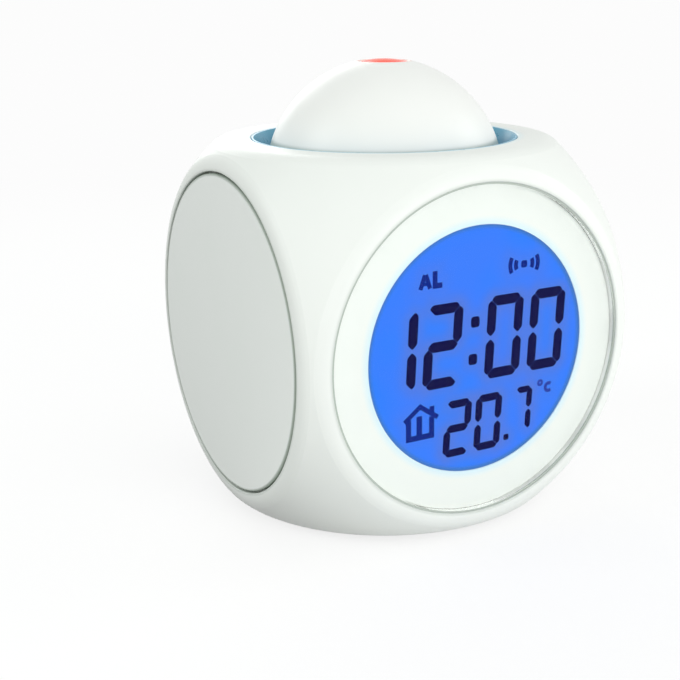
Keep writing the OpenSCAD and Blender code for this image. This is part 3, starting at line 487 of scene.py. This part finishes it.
def stroke_outlines(path, width):
    """A line of even width along a path, as one four-cornered outline for each stretch, mitred where they meet."""
    path = np.asarray(path, float)
    along = np.diff(path, axis=0)
    along /= np.linalg.norm(along, axis=1, keepdims=True)
    before = np.vstack([along[:1], along])
    after = np.vstack([along, along[-1:]])
    mean = before + after
    mean /= np.linalg.norm(mean, axis=1, keepdims=True)
    side = np.column_stack([-mean[:, 1], mean[:, 0]]) / (mean * before).sum(1)[:, None] * width / 2
    left, right = path + side, path - side
    return list(np.stack([left[:-1], right[:-1], right[1:], left[1:]], axis=1))


def drawn(strokes):
    """Outlines of a sign drawn in several strokes, each given by its path and its width."""
    return [outline for path, width in strokes for outline in stroke_outlines(path, width)]


def arc(middle, radius, start, end, steps=13):
    """Points on an arc, from the angle start to the angle end in degrees."""
    a = np.radians(np.linspace(start, end, steps))
    return np.column_stack([np.cos(a), np.sin(a)]) * radius + middle


def on_front(flat, depth):
    """Points drawn as seen from in front, in millimetres, at a depth in metres in front of the display glass."""
    return np.column_stack([flat[:, 0] * MM, np.full(len(flat), GLASS_Y - depth), CENTRE.z + flat[:, 1] * MM])


def plates(name, outlines, place, low, high, material):
    """One mesh of thin plates. Each outline gives a face at the depth low, one at high and a wall between them."""
    points, faces, base = [], [], 0
    for outline in outlines:
        n = len(outline)
        points += [place(outline, low), place(outline, high)]
        ring = np.arange(n)
        walls = np.stack([base + ring, base + (ring + 1) % n, base + n + (ring + 1) % n, base + n + ring], axis=1)
        faces += [(base + ring[::-1]).tolist(), (base + n + ring).tolist(), *walls.tolist()]
        base += 2 * n
    mesh = bpy.data.meshes.new(name)
    mesh.from_pydata(np.vstack(points).tolist(), [], faces)
    mesh.materials.append(material)
    return new_object(name, mesh)


TIME_SIZE, ROOM_SIZE, TENTH_SIZE = (8.9, 17.6, 2.15), (6.6, 12.2, 1.65), (4.6, 10.1, 1.4)
TIME_ROW, ROOM_ROW, TENTH_ROW = 2.05, -16.1, -15.0
time_outlines = [
    *digit("1", (-19.25, TIME_ROW), *TIME_SIZE), *digit("2", (-8.65, TIME_ROW), *TIME_SIZE),
    *digit("0", (6.35, TIME_ROW), *TIME_SIZE), *digit("0", (17.2, TIME_ROW), *TIME_SIZE),
    round_mark((-0.85, 6.0), 2.1, 2.3), round_mark((-1.35, -1.9), 2.1, 2.3),
]
room_outlines = [
    *digit("2", (-5.0, ROOM_ROW), *ROOM_SIZE), *digit("0", (2.65, ROOM_ROW), *ROOM_SIZE),
    *digit("7", (11.5, TENTH_ROW), *TENTH_SIZE), round_mark((7.4, -20.5), 1.3, 1.3),
]
ALARM_LETTERS = [
    ([(-14.0, 14.4), (-12.95, 17.3)], 0.95), ([(-12.75, 17.3), (-11.75, 14.4)], 0.95),
    ([(-13.5, 15.4), (-12.2, 15.4)], 0.7), ([(-10.6, 17.8), (-10.6, 14.8), (-8.9, 14.8)], 1.1),
]
WAVES_MIDDLE, WAVE_RADII = (11.1, 16.7), (2.1, 3.5)
WAVE_HALF, WAVE_WIDTH = 27, 0.95
waves = [(arc(WAVES_MIDDLE, radius, side - WAVE_HALF, side + WAVE_HALF), WAVE_WIDTH)
         for side in (0, 180) for radius in WAVE_RADII]
ROOF = ([(-17.7, -12.7), (-14.0, -9.9), (-9.8, -12.8)], 1.0)
WALLS = ([(-16.75, -12.4), (-16.75, -16.45), (-11.25, -16.45), (-11.25, -12.4)], 1.2)
CHIMNEY = ([(-11.2, -10.2), (-11.2, -11.7)], 1.1)
DOOR = ([(-14.2, -11.9), (-14.2, -16.4)], 1.3)
sign_outlines = [*drawn(ALARM_LETTERS), round_mark(WAVES_MIDDLE, 1.5, 1.5), *drawn(waves),
                 *drawn([ROOF, WALLS, CHIMNEY, DOOR])]
degree_outlines = drawn([(arc((16.05, -9.9), 0.5, 0, 360), 0.55), (arc((18.3, -11.15), 0.85, 50, 310), 0.75)])


def crystal(name, colour):
    """Dark liquid crystal: nearly black, uneven where the light behind it leaks through."""
    material = bpy.data.materials.new(name)
    tree, output = empty_tree(material)
    leak = add(tree, "TexNoise", {"Vector": object_place(tree), "Scale": 260.0, "Detail": 2.0}).outputs[0]
    brighter = tuple(1.5 * c for c in colour[:3])
    dark = {"Base Color": (0.004, 0.004, 0.008, 1), "Roughness": 0.35, "Specular IOR Level": 0.0}
    glow = {"Emission Color": blend(tree, leak, colour, (*brighter, 1)), "Emission Strength": 1.0}
    tree.links.new(add(tree, "BsdfPrincipled", {**dark, **glow}).outputs[0], output.inputs[0])
    return material


digit_ink = crystal("digit_ink", linear(5, 5, 58))
sign_ink = crystal("sign_ink", linear(10, 34, 118))
degree_ink = crystal("degree_ink", linear(40, 62, 155))
display_marks = {
    "time_digits": (time_outlines, digit_ink), "temperature_digits": (room_outlines, digit_ink),
    "display_signs": (sign_outlines, sign_ink), "degree_sign": (degree_outlines, degree_ink),
}
for name, (outlines, ink) in display_marks.items():
    marks = plates(name, outlines, on_front, PLATE_LOW, PLATE_HIGH, ink)
    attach(marks, "housing")


# --- Display film ---
# A polarising film lies on the glass. The light that comes through it is blue, greyer in a painted soft shadow
# beside the dark bars, and darker in painted shade under the window's edge.
FILM_R = 26.6 * MM
FILM_BACK, FILM_FRONT = -0.01 * MM, 0.02 * MM
FILM_STEPS = 161
SHADE_REACH = 1.8
SHADE_DEPTH = 0.5
RIM_FROM, RIM_TO = WINDOW_R - 1.4 * MM, WINDOW_R + 0.2 * MM


def outside_by(points, outline):
    """How far each point lies outside a convex outline: the greatest of its distances from the edges' lines."""
    edge = np.roll(outline, -1, axis=0) - outline
    edge = edge / np.maximum(np.linalg.norm(edge, axis=1, keepdims=True), 1e-9)
    outward = np.column_stack([edge[:, 1], -edge[:, 0]])
    return (points @ outward.T - (outline * outward).sum(1)).max(1)


def bar_shade(points):
    """Painted bar shadow on the film: 1 less the product over all bars of 1 - depth * exp(-(distance / reach) ** 2).
    """
    left = np.ones(len(points))
    for outline in [*time_outlines, *room_outlines]:
        left *= 1 - SHADE_DEPTH * np.exp(-(np.maximum(outside_by(points, outline), 0) / SHADE_REACH) ** 2)
    nearest = np.min([outside_by(points, outline) for outline in [*sign_outlines, *degree_outlines]], axis=0)
    return 1 - left * (1 - SHADE_DEPTH / 2 * np.exp(-(np.maximum(nearest, 0) / SHADE_REACH) ** 2))


def display_film(material):
    """A round film: a square grid on (u, v) from -1 to 1 pressed into a circle by x = u * sqrt(1 - v * v / 2) and
    z = v * sqrt(1 - u * u / 2), a wall along its rim and one face behind. Its front points hold the painted bar
    shadow."""
    n = FILM_STEPS
    u, v = np.meshgrid(np.linspace(-1, 1, n), np.linspace(-1, 1, n))
    flat = np.column_stack([(u * np.sqrt(1 - v * v / 2)).ravel(), (v * np.sqrt(1 - u * u / 2)).ravel()]) * FILM_R / MM
    index = np.arange(n * n).reshape(n, n)
    cells = np.stack([index[:-1, :-1], index[:-1, 1:], index[1:, 1:], index[1:, :-1]], axis=-1).reshape(-1, 4)
    rim = np.concatenate([index[0, :-1], index[:-1, -1], index[-1, :0:-1], index[:0:-1, 0]])
    back = n * n + np.arange(len(rim))
    wall = np.stack([rim, back, np.roll(back, -1), np.roll(rim, -1)], axis=1)
    points = np.vstack([on_front(flat, FILM_FRONT), on_front(flat[rim], FILM_BACK)])
    mesh = bpy.data.meshes.new("display_film")
    mesh.from_pydata(points.tolist(), [], [*cells.tolist(), *wall.tolist(), back[::-1].tolist()])
    shade = mesh.attributes.new("shade", "FLOAT", "POINT")
    shade.data.foreach_set("value", np.concatenate([bar_shade(flat), np.zeros(len(rim))]).astype(np.float32))
    mesh.materials.append(material)
    return new_object("display_film", mesh)


def through_film(tree, light):
    """The light, greyer in the bars' painted shadow, that fades to grey blue in painted shade at the window's edge.
    """
    shade = add(tree, "Attribute", attribute_name="shade").outputs["Fac"]
    shaded = blend(tree, shade, light, linear(92, 122, 208))
    return blend(tree, spot((0, 1, 0), RIM_FROM, RIM_TO)(tree), linear(70, 118, 172), shaded)


film = display_film(lit_blue("lit_film", linear(50, 128, 250), linear(62, 126, 248), through_film))
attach(film, "housing")


# --- Behind the display ---
# A moulded holder, a milky diffuser with six white LEDs behind it, and two zebra rubber strips that join the glass
# to the main board.
STRIPE = 0.4 * MM
STRIPE_EDGE = 0.2


def zebra(tree):
    """A mask of thin stripes across a rubber strip, from the sine of the place along it."""
    along = add(tree, "SeparateXYZ", {0: object_place(tree)}).outputs["X"]
    wave = math(tree, "SINE", math(tree, "MULTIPLY", along, 2 * np.pi / STRIPE))
    return math(tree, "GREATER_THAN", wave, STRIPE_EDGE)


inner_white = plastic("inner_white", linear(232, 233, 229), linear(226, 228, 224), 0.5)
milky = plastic("milky", linear(236, 241, 250), linear(230, 236, 247), 0.35)
phosphor = plastic("phosphor", linear(250, 246, 214), linear(250, 240, 190), 0.3)
rubber = plastic("rubber", linear(38, 38, 39), linear(30, 30, 31), 0.75, grain=900.0, relief=0.03)
zebra_rubber = plastic("zebra_rubber", linear(206, 168, 170), linear(198, 160, 162), 0.6,
                       marks=[(zebra, linear(40, 40, 42))])
dress(inner_white, "lcd_holder", "battery_box", "top_frame")
dress(milky, "backlight_diffuser")
dress(phosphor, "backlight_leds", "ring_leds")
dress(zebra_rubber, "contact_strips")
dress(rubber, "speaker_gasket")


# --- Circuit boards ---
# Glass fibre boards under green solder mask with copper lines beneath it. The main board carries the controller under
# its black blob, the key board the four switches, and two small boards the lamps of the ring and of the projector.
COPPER_SCALE = 420.0
LINE_GAP, DOT_GAP = 0.14, 0.12


def copper(feature_gap, at_seed):
    """A mask from cells measured along the axes: the lines where two seeds are about equally far, or, with at_seed,
    the dots round the seeds."""
    def mask(tree):
        cells = {"Vector": object_place(tree), "Scale": COPPER_SCALE}
        first = add(tree, "TexVoronoi", cells, feature="F1", distance="MANHATTAN").outputs["Distance"]
        second = add(tree, "TexVoronoi", cells, feature="F2", distance="MANHATTAN").outputs["Distance"]
        return math(tree, "LESS_THAN", first if at_seed else math(tree, "SUBTRACT", second, first), feature_gap)
    return mask


def inside_box():
    """Group for what lies in a box: the least of the distances inward from its six sides is above zero."""
    group, given, result = make_group("inside_box", {"Low": "Vector", "High": "Vector"}, {"Mask": "Float"})
    arm = vector_math(group, "SUBTRACT", object_place(group), CENTRE)
    above = vector_math(group, "SUBTRACT", arm, given.outputs["Low"])
    below = vector_math(group, "SUBTRACT", given.outputs["High"], arm)
    least = add(group, "SeparateXYZ", {0: vector_math(group, "MINIMUM", above, below)})
    flat = math(group, "MINIMUM", least.outputs["X"], least.outputs["Y"])
    mask = math(group, "GREATER_THAN", math(group, "MINIMUM", flat, least.outputs["Z"]), 0.0)
    group.links.new(mask, result.inputs["Mask"])
    return group


box_mask = inside_box()


def zone(low, high):
    """A mask of a box whose corners are given in millimetres from the middle of the clock."""
    def mask(tree):
        inputs = {"Low": tuple(MM * c for c in low), "High": tuple(MM * c for c in high)}
        return add(tree, "Group", inputs, node_tree=box_mask).outputs["Mask"]
    return mask


board_lines = [(copper(LINE_GAP, False), linear(58, 138, 88)), (copper(DOT_GAP, True), linear(206, 176, 96))]
board_green = plastic("board_green", linear(30, 110, 66), linear(22, 92, 54), 0.35, 600.0, 0.01, board_lines)
black_resin = plastic("black_resin", linear(34, 34, 36), linear(26, 26, 28), 0.4)
crystal_can = (zone((11, -40, -12), (17, 0, 0)), linear(196, 196, 192))
capacitors = (zone((-18, -40, -12), (-12, 0, 12)), linear(44, 58, 92))
sensor_bead = (zone((18, -40, 4), (24, 0, 9)), linear(150, 96, 44))
lead_connector = (zone((-7, -40, 11), (7, 0, 18)), linear(232, 228, 208))
part_marks = [crystal_can, capacitors, sensor_bead, lead_connector]
board_parts = plastic("board_parts", linear(34, 34, 36), linear(26, 26, 28), 0.4, marks=part_marks)
slide_film = plastic("slide_film", linear(24, 24, 26), linear(20, 20, 22), 0.25)
dress(board_green, "main_board", "key_board", "ring_board", "projector_board")
dress(board_parts, "board_parts")
dress(black_resin, "key_switches", "dome_switch")
dress(slide_film, "image_slide")


# --- Keys ---
# Four pale grey keys stand in a sunk panel above the speaker's grille. Each is pushed in against its switch and bears
# a small printed sign: a clock face to choose what is set, a tick to set it, and an arrow up and one down.
KEY_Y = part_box("key_mode")[1].y
PRINT_LOW, PRINT_HIGH = -0.02 * MM, 0.03 * MM
key_grey = plastic("key_grey", linear(214, 216, 214), linear(208, 210, 208), 0.45)
print_grey = plastic("print_grey", linear(96, 100, 100), linear(86, 90, 90), 0.55)
KEY_SIGNS = {
    "key_mode": drawn([(arc((0, 0), 1.35, 0, 360, 33), 0.34), ([(0, 0.95), (0, 0), (0.7, 0)], 0.34)]),
    "key_set": stroke_outlines([(-1.2, 0.1), (-0.35, -0.85), (1.25, 1.05)], 0.42),
    "key_up": [np.array([(-1.35, -0.95), (1.35, -0.95), (0, 1.15)])],
    "key_down": [np.array([(0, -1.15), (1.35, 0.95), (-1.35, 0.95)])],
}


def on_key(key):
    """Places points that are drawn as seen from behind, in millimetres about a key's middle, on that key's face."""
    low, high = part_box(key)
    middle = (low + high) / 2

    def place(flat, depth):
        across, up = flat[:, 0] * MM, flat[:, 1] * MM
        return np.column_stack([middle.x - across, np.full(len(flat), KEY_Y + depth), middle.z + up])
    return place


dress(key_grey, *KEY_SIGNS)
for key, outlines in KEY_SIGNS.items():
    sign = plates(key + "_sign", outlines, on_key(key), PRINT_LOW, PRINT_HIGH, print_grey)
    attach(sign, key)


# --- Speaker ---
# A small loudspeaker: a pressed steel basket round a dark paper cone, which shows through the grille's holes. A foam
# ring seals it to the rear disc.
CONE_R = 9.4 * MM
CONE_EDGE = 0.2 * MM
speaker_low, speaker_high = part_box("speaker")
SPEAKER_MIDDLE = (speaker_low + speaker_high) / 2


cone = spot((0, 1, 0), CONE_R, CONE_R + CONE_EDGE, SPEAKER_MIDDLE)


def basket(tree):
    """A mask of the steel: all but the cone."""
    return math(tree, "SUBTRACT", 1.0, cone(tree))


speaker_steel = plastic("speaker_steel", linear(168, 168, 166), linear(158, 158, 156), 0.4, 2500.0, 0.004,
                        [(cone, linear(46, 45, 44))], basket)
dress(speaker_steel, "speaker")


# --- Metal parts ---
# Zinc plated screws, and battery contacts of bare spring steel.
def metal(name, colour, polish, grain=2500.0):
    """A plated metal: the shared skin gives its grain, and the socket Metallic is full."""
    return plastic(name, colour, tuple(0.9 * c for c in colour[:3]) + (1.0,), polish, grain, 0.004, Metallic=1.0)


dress(metal("zinc", linear(190, 190, 188), 0.35),
      "dome_screws", "shell_screws", "frame_screws", "board_screws", "box_screws")
spring_steel = metal("spring_steel", linear(205, 204, 198), 0.28)
dress(spring_steel, "battery_contacts")


# --- Return spring ---
# A coil of round steel wire with ground ends stands on the frame's bridge and carries the projector's tube.
COIL_R = 8.6 * MM
WIRE_R = 0.45 * MM
COIL_TURNS = 4
coil_low, coil_high = (corner[2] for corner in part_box("dome_spring"))


def coil(low, high, steps=192, sides=12):
    """A closed tube round a helix: the middle of the wire climbs evenly from low to high as it turns, a circle stands
    across it at each step, and what would pass low or high is ground flat."""
    side, step = np.arange(sides)[None, :], np.arange(steps)[:, None]
    turn = np.linspace(0, 2 * np.pi * COIL_TURNS, steps + 1)[:, None]
    round_wire = side * 2 * np.pi / sides
    reach = COIL_R + WIRE_R * np.cos(round_wire)
    rise = low + (high - low) * turn / turn[-1] + WIRE_R * np.sin(round_wire)
    points = np.stack([reach * np.cos(turn), reach * np.sin(turn), np.clip(rise, low, high)], axis=-1).reshape(-1, 3)
    first = (step * sides + side).ravel()
    second = (step * sides + (side + 1) % sides).ravel()
    walls = np.stack([first, first + sides, second + sides, second], axis=1).tolist()
    ends = [list(range(sides)), [steps * sides + k for k in reversed(range(sides))]]
    mesh = bpy.data.meshes.new("return_spring")
    mesh.from_pydata(points.tolist(), [], walls + ends)
    mesh.polygons.foreach_set("use_smooth", [True] * len(walls) + [False] * len(ends))
    mesh.materials.append(spring_steel)
    return mesh


return_spring = new_object("return_spring", coil(coil_low, coil_high))
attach(return_spring, "housing")
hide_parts("dome_spring")
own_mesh(return_spring)


# --- Cells ---
# Three small cells lie side by side between sprung contacts. Each has a dark printed sleeve with a copper coloured
# band at one end, and its steel can shows at both ends.
cell_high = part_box("cell_middle")[1]
SLEEVE_HALF = cell_high.y / MM - 1.6
BAND_LENGTH = 8
CELLS_SIDE, CELLS_LOW, CELLS_HIGH = 30, -40, -20


def along_cells(start, end):
    """A mask of all that lies from start to end along the three cells, in millimetres from their middle."""
    return zone((-CELLS_SIDE, start, CELLS_LOW), (CELLS_SIDE, end, CELLS_HIGH))


can_ends = [along_cells(SLEEVE_HALF, CELLS_SIDE), along_cells(-CELLS_SIDE, -SLEEVE_HALF)]
copper_band = along_cells(SLEEVE_HALF - BAND_LENGTH, SLEEVE_HALF)


def bare_can(tree):
    """A mask of the steel at both ends of the cells."""
    return math(tree, "MAXIMUM", can_ends[0](tree), can_ends[1](tree))


sleeve = plastic("sleeve", linear(52, 58, 68), linear(44, 50, 60), 0.3, bare=bare_can,
                 marks=[(copper_band, linear(184, 122, 74)), (bare_can, linear(196, 196, 192))])
dress(sleeve, "cell_left", "cell_middle", "cell_right")


# --- Base cover and feet ---
# The cover is one more white disc with a coin slot. Three tabs on its back turn in under the shell's floor, and a
# printed arrow shows the way to open it. Four rubber feet are pressed into it.
COVER_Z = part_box("base_cover")[0].z
ARROW_R, ARROW_WIDTH, ARROW_HEAD = 14.0, 1.1, 1.6
ARROW_START, ARROW_NECK, ARROW_TIP = 62, 108, 119


def on_base(flat, depth):
    """Points drawn as seen from below with +Y up, in millimetres, at a depth in metres below the cover."""
    return np.column_stack([-flat[:, 0] * MM, flat[:, 1] * MM, np.full(len(flat), COVER_Z - depth)])


neck, tip = arc((0, 0), 1.0, ARROW_NECK, ARROW_TIP, 2)
arrow_head = np.array([neck * (ARROW_R - ARROW_HEAD), neck * (ARROW_R + ARROW_HEAD), tip * ARROW_R])
arrow_line = stroke_outlines(arc((0, 0), ARROW_R, ARROW_START, ARROW_NECK), ARROW_WIDTH)
turn_arrow = plates("turn_arrow", [*arrow_line, arrow_head], on_base, PRINT_LOW, PRINT_HIGH, print_grey)
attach(turn_arrow, "base_cover")
foot_grey = plastic("foot_grey", linear(186, 188, 186), linear(178, 180, 178), 0.8, grain=900.0, relief=0.01)
dress(cap_white, "base_cover")
dress(foot_grey, "feet")


# --- Light ring ---
# A translucent blue ring sits in the top opening around the dome, and eight lamps light it from below.
RING_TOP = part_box("light_ring")[1].z
RING_LAMPS = 8
RING_FADE = 5 * MM
LAMP_SHARE = 0.3


def ring_glow():
    """Translucent blue plastic with its own soft light, darker towards the bottom in painted shade of the groove, and
    brighter over the lamps, by the cosine of the lamps' number times the angle round the ring."""
    material = bpy.data.materials.new("ring_glow")
    tree, output = empty_tree(material)
    place = object_place(tree)
    parts = add(tree, "SeparateXYZ", {0: place})
    grain = add(tree, "TexNoise", {"Vector": place, "Scale": 400.0, "Detail": 2.0}).outputs[0]
    angle = math(tree, "ARCTAN2", parts.outputs["Y"], parts.outputs["X"])
    over_lamp = spread(tree, math(tree, "COSINE", math(tree, "MULTIPLY", angle, RING_LAMPS)), -1, 1)
    rise = spread(tree, parts.outputs["Z"], RING_TOP - RING_FADE, RING_TOP)
    # Painted shade: the ring is darker towards the bottom of the groove.
    tinted = blend(tree, rise, linear(26, 84, 122), linear(66, 138, 164))
    lit = blend(tree, math(tree, "MULTIPLY", over_lamp, LAMP_SHARE), tinted, linear(96, 170, 200))
    light = {"Base Color": lit, "Roughness": spread(tree, grain, 0, 1, 0.2, 0.4), "Emission Color": lit}
    tree.links.new(add(tree, "BsdfPrincipled", {**light, "Emission Strength": 0.3}).outputs[0], output.inputs[0])
    return material


dress(ring_glow(), "light_ring")


# --- Dome ---
# The dome is a glossy white moulding that is pushed down for snooze. It carries the projector, and a painted red
# glow of its light tints the rim of its nozzle. Painted shade darkens the dome where it goes down into the housing.
NOZZLE_R = 5.5 * MM
RED_NEAR, RED_FAR = NOZZLE_R - 0.3 * MM, NOZZLE_R + 1.2 * MM
SHADE_LOW, SHADE_HIGH = CENTRE.z + 38.9 * MM, CENTRE.z + 40.0 * MM


def dome_foot_shade(tree):
    """A mask of the painted shade on the dome's lowest band that shows above the opening."""
    height = add(tree, "SeparateXYZ", {0: object_place(tree)}).outputs["Z"]
    return ramp(tree, height, SHADE_LOW, SHADE_HIGH, 1.0, 0.0)


# A painted red glow round the nozzle, and painted shade at the dome's foot.
painted_red_glow = (spot((0, 0, 1), RED_NEAR, RED_FAR), linear(250, 206, 196))
dome_marks = [painted_red_glow, (dome_foot_shade, linear(192, 202, 195))]
dome_white = plastic("dome_white", linear(247, 248, 245), linear(245, 246, 243), 0.34, marks=dome_marks,
                     **{"Specular IOR Level": 0.3})
dress(dome_white, "dome_cover")
dress(plastic("tube_white", linear(236, 236, 233), linear(230, 231, 228), 0.4), "projector_tube")


# --- Projector ---
# A red LED shines up through a condenser lens, the image slide and the projection lens in the dome's top.
def red_light(name, colour, strength):
    """Clear plastic that carries the red light: it shines by itself, unevenly, and mirrors the room."""
    material = bpy.data.materials.new(name)
    tree, output = empty_tree(material)
    cloud = add(tree, "TexNoise", {"Vector": object_place(tree), "Scale": 300.0, "Detail": 1.0}).outputs[0]
    deeper = tuple(0.7 * c for c in colour[:3])
    tinted = blend(tree, cloud, colour, (*deeper, 1))
    light = {"Base Color": tinted, "Roughness": 0.12, "Specular IOR Level": 0.1, "Emission Color": tinted}
    tree.links.new(add(tree, "BsdfPrincipled", {**light, "Emission Strength": strength}).outputs[0], output.inputs[0])
    return material


dress(red_light("red_lens", linear(236, 52, 16), 0.9), "projector_lens")
dress(red_light("red_led", linear(220, 40, 28), 0.6), "projector_led")
condenser_clear = plastic("condenser_clear", linear(235, 245, 255), linear(230, 240, 250), 0.05,
                          **{"Transmission Weight": 1.0})
dress(condenser_clear, "condenser_lens")
